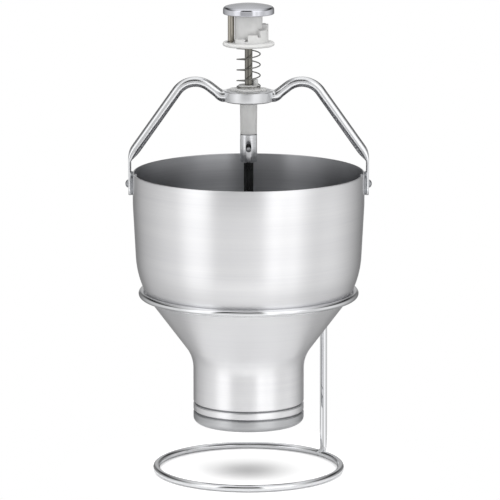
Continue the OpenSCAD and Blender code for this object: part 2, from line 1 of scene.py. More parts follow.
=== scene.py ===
# Looks of the countertop batter dispenser: spun hopper, wire stand, bail handle, press knob,
# portion dial and plunger. Blender works in metres; the sizes below are in millimetres, and
# the angles in degrees.
import json
import math

import bmesh
import bpy
from mathutils import Matrix, Vector

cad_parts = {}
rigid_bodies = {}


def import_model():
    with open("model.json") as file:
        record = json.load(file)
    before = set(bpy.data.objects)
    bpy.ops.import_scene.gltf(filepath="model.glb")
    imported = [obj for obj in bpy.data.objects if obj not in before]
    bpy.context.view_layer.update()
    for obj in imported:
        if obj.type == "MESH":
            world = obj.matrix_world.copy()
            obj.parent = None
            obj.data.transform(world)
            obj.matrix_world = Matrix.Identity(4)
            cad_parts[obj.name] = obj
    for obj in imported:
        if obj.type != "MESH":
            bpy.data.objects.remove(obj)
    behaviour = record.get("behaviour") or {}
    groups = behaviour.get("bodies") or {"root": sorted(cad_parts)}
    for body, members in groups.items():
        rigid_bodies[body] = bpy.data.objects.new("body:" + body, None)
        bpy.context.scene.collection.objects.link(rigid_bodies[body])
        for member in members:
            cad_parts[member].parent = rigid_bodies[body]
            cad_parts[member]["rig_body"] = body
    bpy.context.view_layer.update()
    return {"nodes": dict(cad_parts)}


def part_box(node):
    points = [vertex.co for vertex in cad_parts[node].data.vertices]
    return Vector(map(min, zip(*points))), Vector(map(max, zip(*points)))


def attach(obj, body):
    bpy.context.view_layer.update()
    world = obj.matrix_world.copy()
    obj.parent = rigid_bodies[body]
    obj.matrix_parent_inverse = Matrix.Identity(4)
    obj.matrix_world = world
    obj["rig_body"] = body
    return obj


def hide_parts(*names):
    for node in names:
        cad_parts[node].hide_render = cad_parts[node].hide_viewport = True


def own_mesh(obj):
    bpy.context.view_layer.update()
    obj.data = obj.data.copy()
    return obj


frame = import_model()
MM = 0.001

# Hopper: rim and where its edge starts to round, sheet, the band under the rim, taper, bulge
# and cone, the neck's hollow curve, outlet and its lip
RIM_R, RIM_Z, RIM_EDGE, SHEET = 101.6, 268.3, 0.7, 1.5
BAND_Z, BAND_STEP, BAND_EASE = 241.6, 0.03, 2.0
TAPER_A, BULGE_R, CONE_A = 2.9, 80.0, 36.8
NECK_R, NECK_Z = 32.0, 93.2
NOZZLE_R, NOZZLE_Z, LIP_R, LIP_FROM = 48.8, 44.5, 5.3, -80
# The two rolled grooves: heights, half width and depth of the inner side; depth of the outer
# side, how pointed they are and the half width of the painted shade along their floor
BEADS, BEAD_W, BEAD_DEPTH = (55.3, 62.9), 1.8, 1.0
GROOVE_DEPTH, GROOVE_SHARP, GROOVE_SHADE_W = 1.6, 1.6, 0.75
# The heights between which painted light on the bowl's inside fades: bright below, dull above
PAINTED_LIGHT_LOW, PAINTED_LIGHT_HIGH = 140, 225

# Stand: wire, base ring, top ring, the gap under the bowl and the bent leg
WIRE_R, BASE_R, TOP_R, SEAT_GAP = 3.15, 81.8, 93.8, 0.2
LEG_AZIMUTH, FOOT_BEND_R, LEG_INTO_RING = 40.0, 6.5, 1.3
RING_END = 0.62  # the ring's far end stops inside the foot bend, at this part of its angle

# Handle: tube and arch, hub, and the strap that the tube is pressed into
TUBE_R, ARCH_R, ARCH_X, ARCH_RISE, TURN_R = 4.5, 20.0, 46.4, 12.45, 6.0
HUB_R, HUB_MID, HUB_REACH, HUB_INTO = 21.5, 335.75, 2.1, 2.5
HUB_SWELL, SWELL_FROM, SWELL_LENGTH = 0.2, 6.0, 5.0
STRAP_T, STRAP_W, STRAP_X, STRAP_RISE, RIVET_Z = 2.4, 12.5, 104.1, 13.0, 258.0
FLAT_FROM, FLAT_TO, STRAP_BELOW_RIVET = 9.8, 3.5, 4.0

# Return spring: coil, wire, its ends, and the turns that work and that lie close
SPRING_R, SPRING_WIRE, SPRING_LOW, SPRING_HIGH = 10.1, 1.1, 343.15, 386.65
OPEN_TURNS, DEAD_TURNS, DEAD_GAP, SPRING_START = 4.3, 1.0, 0.45, 10
COIL_STEPS = 40

# Knob: radius, height of its side, slope of the dome at its edge, the two edges' roundings,
# how far the upper one's middle lies under the side's end and where the flat underside ends
KNOB_R, KNOB_SIDE, KNOB_DOME_A, KNOB_FOOT_R, KNOB_EDGE_R = 22.35, 5.2, 14.0, 0.8, 3.0
KNOB_EDGE_DROP, KNOB_UNDER = 1.4, 2.4


def cos(a):
    return math.cos(math.radians(a))


def sin(a):
    return math.sin(math.radians(a))


def linear(hex_colour):
    """sRGB hex to the linear RGBA that Blender's shaders take."""
    parts = [int(hex_colour[i : i + 2], 16) / 255 for i in (0, 2, 4)]
    return [c / 12.92 if c <= 0.04045 else ((c + 0.055) / 1.055) ** 2.4 for c in parts] + [1.0]


def node(tree, kind, inputs=(), stops=(), **settings):
    """Adds one node. Inputs pair a socket with a value or a link; a colour ramp's stops pair a
    place with a hex colour or a grey level; settings are the node's own."""
    made = tree.nodes.new(kind)
    for key, value in settings.items():
        setattr(made, key, value)
    while stops and len(made.color_ramp.elements) < len(stops):
        made.color_ramp.elements.new(0.5)
    for place, (at, colour) in enumerate(stops):
        made.color_ramp.elements[place].position = at
        made.color_ramp.elements[place].color = (
            linear(colour) if isinstance(colour, str) else [colour] * 3 + [1.0]
        )
    for socket, value in inputs:
        if isinstance(value, bpy.types.NodeSocket):
            tree.links.new(value, made.inputs[socket])
        else:
            made.inputs[socket].default_value = value
    return made


def shader(name, **values):
    """A new material with its Principled shader's own sockets set."""
    made = bpy.data.materials.new(name)
    made.use_nodes = True
    surface = made.node_tree.nodes["Principled BSDF"]
    for socket, value in values.items():
        surface.inputs[socket.replace("_", " ")].default_value = value
    return made, made.node_tree, surface


# ---------------------------------------------------------------- materials


def spun_aluminium(name, light, dark, rough_low, rough_high, bump, painted_light_deep=None):
    """Aluminium sheet spun over a form and finished with a fine abrasive: satin, with faint
    level rings where the tool passed and slow changes along each ring. Real rings are 0.2 to
    0.4 mm apart, too fine for the render, so they are drawn as coarse as 1 to 3 mm. A deep
    colour, when given, is painted light: the sheet turns to it far down in the bowl."""
    made, tree, surface = shader(
        name, Metallic=1.0, Roughness=0.3, Anisotropic=0.8, Anisotropic_Rotation=0.25
    )
    place = node(tree, "ShaderNodeTexCoord").outputs["Object"]
    round_z = node(tree, "ShaderNodeTangent", direction_type="RADIAL", axis="Z")
    tree.links.new(round_z.outputs[0], surface.inputs["Tangent"])
    fine = node(tree, "ShaderNodeMapping", [("Vector", place), ("Scale", (7, 7, 900))])
    rings = node(
        tree, "ShaderNodeTexNoise",
        [("Vector", fine.outputs[0]), ("Scale", 1.0), ("Detail", 3.0), ("Roughness", 0.6)],
    ).outputs["Fac"]
    broad = node(tree, "ShaderNodeMapping", [("Vector", place), ("Scale", (5, 5, 160))])
    bands = node(
        tree, "ShaderNodeTexNoise",
        [("Vector", broad.outputs[0]), ("Scale", 1.0), ("Detail", 2.0)],
    ).outputs["Fac"]
    both = node(
        tree, "ShaderNodeMix", [("Factor", 0.45), ("A", rings), ("B", bands)], data_type="FLOAT"
    ).outputs[0]
    tint = node(
        tree, "ShaderNodeValToRGB", [("Fac", both)], [(0.3, dark), (0.7, light)]
    ).outputs["Color"]
    # Painted light: the colour brightens towards the deep colour far down in the bowl
    if painted_light_deep:
        height = node(tree, "ShaderNodeSeparateXYZ", [(0, place)]).outputs["Z"]
        depth = node(
            tree, "ShaderNodeMapRange",
            [("Value", height), ("From Min", PAINTED_LIGHT_LOW * MM), ("From Max", PAINTED_LIGHT_HIGH * MM),
             ("To Min", 1.0), ("To Max", 0.0)],
            interpolation_type="SMOOTHSTEP",
        ).outputs[0]
        tint = node(
            tree, "ShaderNodeMix", [("Factor", depth), (6, tint), (7, linear(painted_light_deep))],
            data_type="RGBA",
        ).outputs[2]
    tree.links.new(tint, surface.inputs["Base Color"])
    rough = node(
        tree, "ShaderNodeMapRange",
        [("Value", both), ("From Min", 0.3), ("From Max", 0.7),
         ("To Min", rough_high), ("To Max", rough_low)],
    )
    tree.links.new(rough.outputs[0], surface.inputs["Roughness"])
    groove = node(
        tree, "ShaderNodeBump", [("Height", rings), ("Strength", bump), ("Distance", 0.0002)]
    )
    tree.links.new(groove.outputs[0], surface.inputs["Normal"])
    return made


def polished(name, colour, rough, mark, stretch=(60, 60, 60)):
    """Plated or polished metal: a mirror with a trace of polishing marks, really hundredths
    of a millimetre wide and drawn as coarse as 1 to 2 mm, that only change how sharp the
    reflection is."""
    made, tree, surface = shader(name, Base_Color=linear(colour), Metallic=1.0, Roughness=rough)
    place = node(tree, "ShaderNodeTexCoord").outputs["Object"]
    spread = node(tree, "ShaderNodeMapping", [("Vector", place), ("Scale", stretch)])
    haze = node(
        tree, "ShaderNodeTexNoise",
        [("Vector", spread.outputs[0]), ("Scale", 10.0), ("Detail", 4.0), ("Roughness", 0.65)],
    )
    level = node(
        tree, "ShaderNodeMapRange",
        [("Value", haze.outputs["Fac"]), ("From Min", 0.3), ("From Max", 0.75),
         ("To Min", rough), ("To Max", rough + mark)],
    )
    tree.links.new(level.outputs[0], surface.inputs["Roughness"])
    return made


def turned_steel(name, light, dark, rough):
    """Steel cut in a lathe or with a file: level tool marks, really 0.1 mm apart and drawn as
    coarse as 0.6 mm, that break the reflection into soft lines."""
    made, tree, surface = shader(name, Metallic=1.0, Roughness=rough)
    place = node(tree, "ShaderNodeTexCoord").outputs["Object"]
    level = node(tree, "ShaderNodeMapping", [("Vector", place), ("Scale", (30, 30, 1700))])
    marks = node(
        tree, "ShaderNodeTexNoise",
        [("Vector", level.outputs[0]), ("Scale", 1.0), ("Detail", 2.0)],
    ).outputs["Fac"]
    tint = node(tree, "ShaderNodeValToRGB", [("Fac", marks)], [(0.3, dark), (0.7, light)])
    tree.links.new(tint.outputs["Color"], surface.inputs["Base Color"])
    spread = node(
        tree, "ShaderNodeMapRange",
        [("Value", marks), ("From Min", 0.3), ("From Max", 0.7),
         ("To Min", rough + 0.08), ("To Max", rough)],
    )
    tree.links.new(spread.outputs[0], surface.inputs["Roughness"])
    return made


def moulded(name, light, dark, rough, soft=0.0):
    """Injection-moulded plastic or rubber: an even colour with a slight cloud in it, and the
    fine sparked texture of the mould, really 0.02 mm and drawn as coarse as 0.5 mm. A soft
    one lets light in a few millimetres, which softens its edges and steps."""
    made, tree, surface = shader(name, Roughness=rough, IOR=1.48)
    if soft:
        surface.inputs["Subsurface Weight"].default_value = soft
        surface.inputs["Subsurface Radius"].default_value = (1.0, 1.0, 0.95)
        surface.inputs["Subsurface Scale"].default_value = 0.003
    place = node(tree, "ShaderNodeTexCoord").outputs["Object"]
    cloud = node(
        tree, "ShaderNodeTexNoise", [("Vector", place), ("Scale", 90.0), ("Detail", 2.0)]
    )
    tint = node(
        tree, "ShaderNodeValToRGB", [("Fac", cloud.outputs["Fac"])],
        [(0.35, dark), (0.65, light)],
    )
    tree.links.new(tint.outputs["Color"], surface.inputs["Base Color"])
    spark = node(
        tree, "ShaderNodeTexNoise", [("Vector", place), ("Scale", 2000.0), ("Detail", 1.0)]
    )
    bump = node(
        tree, "ShaderNodeBump",
        [("Height", spark.outputs["Fac"]), ("Strength", 0.15), ("Distance", 0.00005)],
    )
    tree.links.new(bump.outputs[0], surface.inputs["Normal"])
    return made


# Spun aluminium, rubbed satin outside: upright light and dark bands, stretched up and down
HOPPER_OUT = spun_aluminium("spun_aluminium_satin", "F9F9FA", "F3F3F5", 0.35, 0.38, 0.05)
# The same sheet inside: a darker copy of its colour, painted shade that is duller and darker near
# the rim, with painted light far down in the bowl
HOPPER_IN_PAINTED_SHADE_AND_LIGHT = spun_aluminium(
    "spun_aluminium_inside_painted_shade_and_light", "B1B2B5", "A6A7AA", 0.3, 0.35, 0.06, painted_light_deep="F0F0F2"
)
# The floor of the rolled grooves, which the abrasive doesn't reach: duller, and darkened by painted
# shade into two dark lines
HOPPER_GROOVE_SHADE = spun_aluminium("spun_aluminium_groove_painted_shade", "A6A7AA", "9A9B9E", 0.42, 0.47, 0.03)
# The rolled lip: duller than the wall above it, and darker as painted shade
HOPPER_LIP_SHADE = spun_aluminium("spun_aluminium_lip_painted_shade", "D2D3D5", "C6C7C9", 0.4, 0.46, 0.05)
# Cold-drawn mild steel wire, nickel and chromium plated: a clean, sharp mirror
STAND_CHROME = polished("chromed_wire", "EBECEE", 0.035, 0.04)
# Steel tube, chromed and buffed: a mirror with soft edges to what it shows
HANDLE_CHROME = polished("chromed_tube", "EDEEF0", 0.21, 0.05)
# The cast hub, chromed over a tumbled surface: softer and greyer than the tube
HUB_CHROME = polished("chromed_hub", "E4E5E7", 0.32, 0.08)
# The knob, turned and chromed: a slightly blue mirror, a little hazed by touch
KNOB_CHROME = polished("chromed_knob", "D8D9DF", 0.1, 0.05)
# Ground steel rod, oiled: dark and slightly brown, with level grinding marks
ROD_STEEL = polished("oiled_steel_rod", "7C7A74", 0.16, 0.1, (60, 60, 900))
# Ground dowel steel: the same marks, brighter than the rod
PIN_STEEL = polished("ground_steel_pin", "A9A49A", 0.14, 0.08, (60, 60, 900))
# Stainless bar, turned to size: bright, with level tool marks
SLEEVE_STEEL = turned_steel("turned_steel_sleeve", "E9EAEC", "CFD0D3", 0.2)
# The latch button's end, filed round: coarser than the sleeve, an even grey
BUTTON_STEEL = turned_steel("filed_steel_button", "C4C5C7", "A8A9AC", 0.5)
# Zinc-plated steel, for rivets, washers and screw: a hazy grey sheen
ZINC = polished("zinc_plated_steel", "A7A9AC", 0.24, 0.16)
# Hard-drawn spring steel, as it comes from the die: smooth, dark and slightly warm
SPRING_STEEL = polished("spring_wire", "8D8C88", 0.18, 0.1)
# Natural acetal, injection-moulded: cool white, slightly see-through at its edges
WHITE_PLASTIC = moulded("moulded_acetal", "CDCDCC", "C6C6C5", 0.38, soft=0.35)
# Black acetal, injection-moulded: deep black with a soft gloss
BLACK_PLASTIC = moulded("moulded_black_acetal", "262727", "1B1B1C", 0.2)
# Silicone rubber, moulded: black and dull
SEAL_RUBBER = moulded("silicone_seal", "2B2B2C", "222223", 0.6)


# ---------------------------------------------------------------- making pieces

# Degrees between two faces from which the edge between them counts as hard
HARD_EDGE = 30


def finished(bm, name, body, materials, stands_for=(), crease=35, shade=None):
    """Turns a bmesh into a piece that rides on a body and stands for the given CAD nodes.
    Shade gives a face its place in the list of materials."""
    bmesh.ops.recalc_face_normals(bm, faces=bm.faces)
    mesh = bpy.data.meshes.new(name)
    bm.to_mesh(mesh)
    bm.free()
    for material in materials:
        mesh.materials.append(material)
    mesh.shade_smooth()
    mesh.set_sharp_from_angle(angle=math.radians(crease))
    piece = bpy.data.objects.new(name, mesh)
    bpy.context.scene.collection.objects.link(piece)
    if shade:
        for face in mesh.polygons:
            face.material_index = shade(face)
    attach(piece, body)
    if stands_for:
        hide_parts(*stands_for)
    return piece


def spun(profile, steps, closed):
    """A bmesh turned once round the Z axis from (radius, height) points in millimetres."""
    bm = bmesh.new()
    points = [bm.verts.new((r * MM, 0, z * MM)) for r, z in profile]
    pairs = list(zip(points, points[1:])) + ([(points[-1], points[0])] if closed else [])
    edges = [bm.edges.new(pair) for pair in pairs]
    bmesh.ops.spin(
        bm, geom=points + edges, cent=(0, 0, 0), axis=(0, 0, 1), dvec=(0, 0, 0),
        angle=math.tau, steps=steps, use_merge=True,
    )
    bmesh.ops.remove_doubles(bm, verts=bm.verts, dist=1e-6)
    return bm


def arc(centre, radius, start, end, count):
    """Points along an arc from one angle to another, both ends included."""
    return [
        (centre[0] + radius * cos(start + (end - start) * i / count),
         centre[1] + radius * sin(start + (end - start) * i / count))
        for i in range(count + 1)
    ]


def softened(node_name, material, round_mm):
    """A CAD solid with its hard edges rounded, as moulding, turning and plating leave them."""
    source = frame["nodes"][node_name]
    bm = bmesh.new()
    bm.from_mesh(source.data)
    bmesh.ops.remove_doubles(bm, verts=bm.verts, dist=2e-6)
    bmesh.ops.dissolve_limit(
        bm, angle_limit=math.radians(0.5), use_dissolve_boundaries=False,
        verts=bm.verts, edges=bm.edges,
    )
    hard = [
        e for e in bm.edges
        if e.is_manifold and e.calc_face_angle(0) > math.radians(HARD_EDGE)
    ]
    if hard and round_mm:
        bmesh.ops.bevel(
            bm, geom=hard, offset=round_mm * MM, offset_type="OFFSET", segments=2,
            profile=0.5, affect="EDGES", material=-1, clamp_overlap=True,
        )
    bmesh.ops.triangulate(bm, faces=[f for f in bm.faces if len(f.verts) > 4])
    return finished(
        bm, node_name + "_finished", source["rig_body"], [material], [node_name], crease=28
    )


def wire(name, points, radius, body, material, stands_for):
    """A round wire along points in millimetres, closed at both ends."""
    line = bpy.data.curves.new(name + "_line", "CURVE")
    line.dimensions = "3D"
    line.bevel_depth = radius * MM
    line.bevel_resolution = 5
    line.use_fill_caps = True
    run = line.splines.new("POLY")
    run.points.add(len(points) - 1)
    for point, place in zip(run.points, points):
        point.co = [c * MM for c in place] + [1]
    holder = bpy.data.objects.new(name + "_line", line)
    bpy.context.scene.collection.objects.link(holder)
    bpy.context.view_layer.update()
    mesh = bpy.data.meshes.new_from_object(
        holder.evaluated_get(bpy.context.evaluated_depsgraph_get())
    )
    bm = bmesh.new()
    bm.from_mesh(mesh)
    bmesh.ops.remove_doubles(bm, verts=bm.verts, dist=1e-7)
    bpy.data.objects.remove(holder)
    bpy.data.curves.remove(line)
    bpy.data.meshes.remove(mesh)
    return finished(bm, name, body, [material], stands_for, crease=40)


# ---------------------------------------------------------------- hopper

# The straight cone is as long as it takes for the bulge to end in the tapered wall
neck_end = (NOZZLE_R + NECK_R * (1 - cos(CONE_A)), NECK_Z + NECK_R * sin(CONE_A))
bulge_run = (BULGE_R * (cos(TAPER_A) - cos(CONE_A)), BULGE_R * (sin(CONE_A) - sin(TAPER_A)))
slope = math.tan(math.radians(TAPER_A))
cone_l = (
    RIM_R - neck_end[0] - bulge_run[0] - (BAND_Z - neck_end[1] - bulge_run[1]) * slope
) / (sin(CONE_A) - cos(CONE_A) * slope)
bulge_start = (neck_end[0] + cone_l * sin(CONE_A), neck_end[1] + cone_l * cos(CONE_A))
bulge_centre = (bulge_start[0] - BULGE_R * cos(CONE_A), bulge_start[1] + BULGE_R * sin(CONE_A))
# The top ring's wire lies under the bulge, just clear of it
TOP_Z = bulge_centre[1] - math.sqrt(
    (BULGE_R + WIRE_R + SEAT_GAP) ** 2 - (TOP_R - bulge_centre[0]) ** 2
)


def wall(inset):
    """The hopper's wall from the rolled lip to the rim, inset from the outer surface."""
    points = arc((NOZZLE_R - LIP_R, NOZZLE_Z + LIP_R), LIP_R - inset, LIP_FROM, 0, 14)
    depth = BEAD_DEPTH if inset else GROOVE_DEPTH
    for middle in BEADS:
        points += [
            (NOZZLE_R - inset - depth * (0.5 + 0.5 * cos(180 * i / 8)) ** GROOVE_SHARP,
             middle + BEAD_W * i / 8)
            for i in range(-8, 9)
        ]
    points += arc((NOZZLE_R + NECK_R, NECK_Z), NECK_R + inset, 180, 180 - CONE_A, 20)
    points += arc(bulge_centre, BULGE_R - inset, -CONE_A, -TAPER_A, 36)
    band = RIM_R - inset
    return points + [
        (band - BAND_STEP, BAND_Z - BAND_EASE), (band, BAND_Z + BAND_EASE), (band, RIM_Z - RIM_EDGE)
    ]


def hopper_finish(face):
    """0 outside, 1 inside (painted shade and painted light), 2 in a groove (painted shade), 3 on
    the lip (painted shade).
    """
    outward = face.normal.xy.dot(face.center.xy.normalized())
    z = face.center.z / MM
    if outward < -0.02:
        return 1
    # Painted shade along the floor of each groove
    if any(abs(z - middle) < GROOVE_SHADE_W for middle in BEADS):
        return 2
    return 3 if z < BEADS[0] else 0


rim_edge = arc((RIM_R - SHEET / 2, RIM_Z - SHEET / 2), SHEET / 2, 0, 180, 6)[1:-1]
finished(
    spun(wall(0) + rim_edge + wall(SHEET)[::-1], 240, closed=True),
    "hopper_spun", "hopper", [HOPPER_OUT, HOPPER_IN_PAINTED_SHADE_AND_LIGHT, HOPPER_GROOVE_SHADE, HOPPER_LIP_SHADE],
    ["hopper_shell"], crease=50, shade=hopper_finish,
)

# ---------------------------------------------------------------- stand

# The leg, its foot bend and the base ring are one wire. The bend lies in the plane of the leg
# and of the ring's tangent where it starts.
bend_out = Vector((-sin(LEG_AZIMUTH), cos(LEG_AZIMUTH), 0))
bend_end = Vector((BASE_R * cos(LEG_AZIMUTH), BASE_R * sin(LEG_AZIMUTH), WIRE_R))
leg_x = bend_end.x - FOOT_BEND_R * bend_out.x
leg_top = Vector((leg_x, math.sqrt(TOP_R**2 - leg_x**2), TOP_Z))
leg_foot = bend_end + Vector((0, 0, FOOT_BEND_R)) - FOOT_BEND_R * bend_out
down = (leg_foot - leg_top).normalized()
turn = math.acos(down.dot(bend_out))
across = -(bend_out - down * math.cos(turn)) / math.sin(turn)
bend_centre = bend_end - FOOT_BEND_R * (across * math.cos(turn) + down * math.sin(turn))
bend_start = bend_centre + FOOT_BEND_R * across
leg_length = (TOP_Z - LEG_INTO_RING - bend_start.z) / -down.z
route = [bend_start - down * leg_length * (1 - i / 12) for i in range(12)]
route += [
    bend_centre + FOOT_BEND_R * (across * math.cos(turn * i / 14) + down * math.sin(turn * i / 14))
    for i in range(14)
]
closing = 360 - RING_END * math.degrees(math.asin(FOOT_BEND_R / BASE_R))
route += [
    Vector((BASE_R * cos(LEG_AZIMUTH + closing * i / 220),
            BASE_R * sin(LEG_AZIMUTH + closing * i / 220), WIRE_R))
    for i in range(221)
]
wire("stand_bent_wire", route, WIRE_R, "stand", STAND_CHROME, ["stand_wire"])
finished(
    spun(arc((TOP_R, TOP_Z), WIRE_R, 0, 345, 23), 220, closed=True),
    "top_ring_wire", "stand", [STAND_CHROME], ["top_ring"],
)


def weld(name, centre, along, ring_r, bead_r):
    """A rounded weld bead round a wire: a small ring with an uneven, rippled surface."""
    bm = spun(arc((ring_r, 0), bead_r, 0, 330, 11), 48, closed=True)
    for vert in bm.verts:
        turn_at = math.atan2(vert.co.y, vert.co.x)
        vert.co *= 1 + 0.025 * math.sin(9 * turn_at) + 0.015 * math.sin(17 * turn_at + 1)
    bmesh.ops.rotate(
        bm, verts=bm.verts, cent=(0, 0, 0),
        matrix=Vector((0, 0, 1)).rotation_difference(along).to_matrix(),
    )
    bmesh.ops.translate(bm, verts=bm.verts, vec=Vector(centre) * MM)
    return finished(bm, name, "stand", [STAND_CHROME], crease=60)


# One bead where the leg meets the top ring, one where the ring's end meets the foot bend
WELD_BELOW_TOP, WELD_BEFORE_LEG = 3.2, 4.6
weld("leg_weld_top", leg_top + down * WELD_BELOW_TOP, -down, 3.0, 0.75)
weld(
    "base_ring_weld",
    (BASE_R * cos(LEG_AZIMUTH - WELD_BEFORE_LEG), BASE_R * sin(LEG_AZIMUTH - WELD_BEFORE_LEG),
     WIRE_R + 0.2),
    bend_out, 2.8, 0.6,
)

# ---------------------------------------------------------------- handle


def tangent(point, centre, radius, side):
    """Angle and length of the tangent from a point to a circle."""
    dx, dy = centre[0] - point[0], centre[1] - point[1]
    reach = math.hypot(dx, dy)
    angle = math.degrees(math.atan2(dy, dx)) + side * math.degrees(math.asin(radius / reach))
    return angle, math.sqrt(reach**2 - radius**2)


arch_centre = (ARCH_X, HUB_MID + ARCH_RISE - ARCH_R)
arm_in, arm_out = (HUB_R + HUB_REACH, HUB_MID), (STRAP_X, RIM_Z + STRAP_RISE)
in_angle, in_length = tangent(arm_in, arch_centre, ARCH_R, 1)
out_angle, out_length = tangent(arm_out, arch_centre, ARCH_R, -1)
turn_l = TURN_R * math.tan(math.radians(in_angle / 2))
turn_centre = (arm_in[0] - turn_l, HUB_MID + TURN_R)

# Middle line of the tube from the hub to the end of the strap: x, z and how flat it is
line = [(HUB_R - HUB_INTO, HUB_MID, 0), (turn_centre[0], HUB_MID, 0)]
line += [(x, z, 0) for x, z in arc(turn_centre, TURN_R, -90, in_angle - 90, 7)[1:]]
line += [
    (arm_in[0] + d * cos(in_angle), arm_in[1] + d * sin(in_angle), 0)
    for d in (turn_l + (in_length - turn_l) * i / 4 for i in range(1, 4))
]
line += [(x, z, 0) for x, z in arc(arch_centre, ARCH_R, in_angle + 90, out_angle - 90, 24)]
line += [
    (arm_out[0] + d * cos(out_angle), arm_out[1] + d * sin(out_angle), 0)
    for d in (out_length + (FLAT_FROM - out_length) * i / 8 for i in range(1, 8))
]
# The tube goes flat in the bend above the strap
start = (arm_out[0] + FLAT_FROM * cos(out_angle), arm_out[1] + FLAT_FROM * sin(out_angle))
for i in range(13):
    t = i / 12
    x = (1 - t) ** 2 * start[0] + 2 * t * (1 - t) * arm_out[0] + t * t * STRAP_X
    z = (1 - t) ** 2 * start[1] + 2 * t * (1 - t) * arm_out[1] + t * t * (arm_out[1] - FLAT_TO)
    line.append((x, z, t * t * (3 - 2 * t)))
# From there the strap runs straight down to its round end
strap_end = RIVET_Z - STRAP_BELOW_RIVET
line += [(STRAP_X, z, 1) for z in (arm_out[1] - 7, 270.0, 262.0, strap_end)]
line += [(STRAP_X, strap_end - STRAP_W / 2 * sin(a), 1) for a in (15, 30, 45, 60, 72, 82, 89)]


def section(bm, middle, lean, flat, narrow, swell):
    """One section of the tube, pressed flat: it keeps its length round the outside."""
    half_t = TUBE_R + (STRAP_T / 2 - TUBE_R) * flat
    half_w = TUBE_R + (STRAP_W / 2 - TUBE_R) * flat
    half_w = max(half_w * narrow, 0.05)
    half_t = min(half_t, half_w)
    ring = bmesh.ops.create_circle(bm, segments=40, radius=1)["verts"]
    for vert in ring:
        a, b = vert.co.x, vert.co.y
        side = (b > 1e-6) - (b < -1e-6)
        vert.co = Vector((a * half_t, b * half_t + side * (half_w - half_t), 0)) * MM * swell
    bmesh.ops.rotate(bm, verts=ring, cent=(0, 0, 0), matrix=Matrix.Rotation(lean, 3, "Y"))
    bmesh.ops.translate(bm, verts=ring, vec=Vector((middle[0], 0, middle[1])) * MM)
    return ring


for side, label in ((1, "right"), (-1, "left")):
    bm = bmesh.new()
    rings = []
    for i, (x, z, flat) in enumerate(line):
        before, after = line[max(i - 1, 0)], line[min(i + 1, len(line) - 1)]
        lean = math.atan2(after[0] - before[0], after[1] - before[1])
        swell = 1 + HUB_SWELL * max(0.0, min(1.0, (HUB_R + SWELL_FROM - x) / SWELL_LENGTH))
        drop = (strap_end - z) / (STRAP_W / 2)
        narrow = math.sqrt(max(1 - drop * drop, 0)) if drop > 0 else 1
        rings.append(section(bm, (x, z), lean, flat, narrow, swell))
    for one, other in zip(rings, rings[1:]):
        near = set(one) | set(other)
        edges = {e for v in one + other for e in v.link_edges if e.other_vert(v) in near}
        edges = [e for e in edges if not e.link_faces or len(e.link_faces) < 2]
        edges = [e for e in edges if (e.verts[0] in one) == (e.verts[1] in one)]
        bmesh.ops.bridge_loops(bm, edges=edges)
    bmesh.ops.contextual_create(bm, geom=rings[0])
    bmesh.ops.contextual_create(bm, geom=rings[-1])
    if side < 0:
        bmesh.ops.scale(bm, verts=bm.verts, vec=(-1, 1, 1))
    finished(
        bm, "handle_tube_" + label, "hopper", [HANDLE_CHROME], ["handle_arm_" + label], crease=42
    )

softened("handle_hub", HUB_CHROME, 0.0)
softened("ear_plate_left", ZINC, 0.15)
softened("ear_plate_right", ZINC, 0.15)
softened("handle_rivets", ZINC, 0.12)
softened("rivet_washers", ZINC, 0.3)
softened("guide_bush", WHITE_PLASTIC, 0.4)
softened("outlet_ring", WHITE_PLASTIC, 0.3)

# ---------------------------------------------------------------- spring

# One unbroken wire: a close turn, the open turns, a close turn
dead_pitch = SPRING_WIRE + DEAD_GAP
open_pitch = (SPRING_HIGH - SPRING_LOW - 2 * DEAD_TURNS * dead_pitch) / OPEN_TURNS
coil = []
for i in range(int((OPEN_TURNS + 2 * DEAD_TURNS) * COIL_STEPS) + 1):
    u = i / COIL_STEPS
    opened = min(max(u - DEAD_TURNS, 0), OPEN_TURNS)
    z = SPRING_LOW + dead_pitch * (u - opened) + open_pitch * opened
    at = SPRING_START + 360 * u
    coil.append((SPRING_R * cos(at), SPRING_R * sin(at), z))
spring = wire(
    "return_spring_coil", coil, SPRING_WIRE / 2, "spring", SPRING_STEEL, ["return_spring"]
)
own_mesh(spring)

# ---------------------------------------------------------------- knob and spindle

knob_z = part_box("knob")[0].z / MM
edge_centre = (KNOB_R - KNOB_EDGE_R, knob_z + KNOB_SIDE - KNOB_EDGE_DROP)
dome_end = (
    edge_centre[0] + KNOB_EDGE_R * sin(KNOB_DOME_A), edge_centre[1] + KNOB_EDGE_R * cos(KNOB_DOME_A)
)
dome_r = dome_end[0] / sin(KNOB_DOME_A)
dome_centre = (0, dome_end[1] - dome_r * cos(KNOB_DOME_A))
profile = [(0, knob_z), (KNOB_R - KNOB_UNDER, knob_z)]
profile += arc((KNOB_R - KNOB_FOOT_R, knob_z + KNOB_FOOT_R), KNOB_FOOT_R, -90, 0, 6)
profile += arc(edge_centre, KNOB_EDGE_R, 0, 90 - KNOB_DOME_A, 12)
profile += arc(dome_centre, dome_r, 90 - KNOB_DOME_A, 90, 16)[1:]
finished(
    spun(profile, 160, closed=False), "knob_turned", "spindle", [KNOB_CHROME], ["knob"], crease=40
)

softened("stop_pin", PIN_STEEL, 0.3)
softened("spindle_rod", ROD_STEEL, 0.2)
softened("coupling_sleeve", SLEEVE_STEEL, 0.15)
softened("sleeve_pin", PIN_STEEL, 0.15)
softened("latch_button", BUTTON_STEEL, 0.0)
softened("plunger_stem", BLACK_PLASTIC, 0.15)
softened("piston", BLACK_PLASTIC, 0.2)
softened("valve_disc", BLACK_PLASTIC, 0.2)
softened("valve_seal", SEAL_RUBBER, 0.15)
softened("plunger_screw", ZINC, 0.15)
softened("dial_washer", ZINC, 0.1)
softened("portion_dial", WHITE_PLASTIC, 0.35)

# ---------------------------------------------------------------- camera

